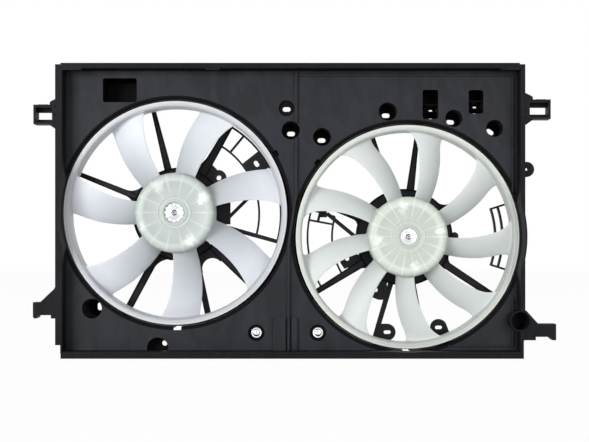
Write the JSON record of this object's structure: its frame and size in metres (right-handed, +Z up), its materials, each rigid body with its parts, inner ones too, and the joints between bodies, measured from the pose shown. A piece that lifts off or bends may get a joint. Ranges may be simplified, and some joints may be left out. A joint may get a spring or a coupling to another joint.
{
  "type": "radiator cooling fan",
  "caption": "Moulded radiator shroud with ringed fan wheels side by side in round tunnels, each turned by an electric motor on a stay behind it, with clip tabs and hooks at its sides.",
  "frame": {"origin": "middle of the box in X and Y, at the bottom edge of the shroud", "axes": "+X to the right seen from the front, +Y rearward along the airflow and the fan axes, +Z up"},
  "size_m": [0.7724, 0.1396, 0.436],
  "materials": {
    "shroud_plastic": "moulded glass-filled nylon, matt",
    "left_fan_plastic": "moulded natural nylon, milky and slightly translucent",
    "right_fan_plastic": "moulded natural nylon, milky with a green cast",
    "plated_steel": "zinc plated",
    "turned_steel": "turned and ground",
    "black_paint": "black dipped steel, satin",
    "laminated_steel": "stacked sheets",
    "copper": "enamelled copper",
    "ferrite": "sintered",
    "phenolic": "pressed",
    "socket_plastic": "moulded",
    "circuit_board": "lacquered",
    "heat_sink_aluminium": "extruded"
  },
  "bodies": {
    "shroud": {"shroud_panel": "shroud_plastic", "upper_left_floor": "shroud_plastic", "upper_right_floor": "shroud_plastic", "side_boss_plate": "shroud_plastic", "floor_ribs": "shroud_plastic", "left_tunnel": "shroud_plastic", "right_tunnel": "shroud_plastic", "left_rim": "shroud_plastic", "right_rim": "shroud_plastic", "top_rim": "shroud_plastic", "bottom_rim": "shroud_plastic", "left_tabs": "shroud_plastic", "right_tabs": "shroud_plastic", "tube_socket": "shroud_plastic", "fastener_pockets": "shroud_plastic", "window_boxes": "shroud_plastic", "screw_seats": "shroud_plastic", "back_ribs": "shroud_plastic", "gussets": "shroud_plastic", "left_motor_stay": "shroud_plastic", "right_motor_stay": "shroud_plastic", "right_stay_plates": "shroud_plastic", "panel_screws": "plated_steel", "controller_housing": "socket_plastic", "controller_board": "circuit_board", "controller_heat_sink": "heat_sink_aluminium", "left_motor_case": "black_paint", "left_motor_end_cover": "black_paint", "left_magnets": "ferrite", "left_front_bearing": "turned_steel", "left_rear_bearing": "turned_steel", "left_brush_holder": "phenolic", "left_motor_socket": "socket_plastic", "left_motor_screws": "plated_steel", "right_motor_case": "black_paint", "right_motor_end_cover": "black_paint", "right_magnets": "ferrite", "right_front_bearing": "turned_steel", "right_rear_bearing": "turned_steel", "right_brush_holder": "phenolic", "right_motor_socket": "socket_plastic", "right_motor_screws": "plated_steel"},
    "left_rotor": {"left_fan": "left_fan_plastic", "left_fan_insert": "turned_steel", "left_lock_washer": "plated_steel", "left_shaft_nut": "plated_steel", "left_motor_shaft": "turned_steel", "left_armature_core": "laminated_steel", "left_armature_winding": "copper", "left_commutator": "copper"},
    "right_rotor": {"right_fan": "right_fan_plastic", "right_fan_insert": "turned_steel", "right_shaft_nut": "plated_steel", "right_motor_shaft": "turned_steel", "right_armature_core": "laminated_steel", "right_armature_winding": "copper", "right_commutator": "copper"}
  },
  "joints": [
    {"name": "left_fan_spin", "type": "hinge", "parent": "shroud", "child": "left_rotor", "pos_m": [-0.17925, -0.04275, 0.216], "axis": [0, 1, 0], "continuous": true},
    {"name": "right_fan_spin", "type": "hinge", "parent": "shroud", "child": "right_rotor", "pos_m": [0.16975, -0.04275, 0.18], "axis": [0, 1, 0], "continuous": true}
  ]
}
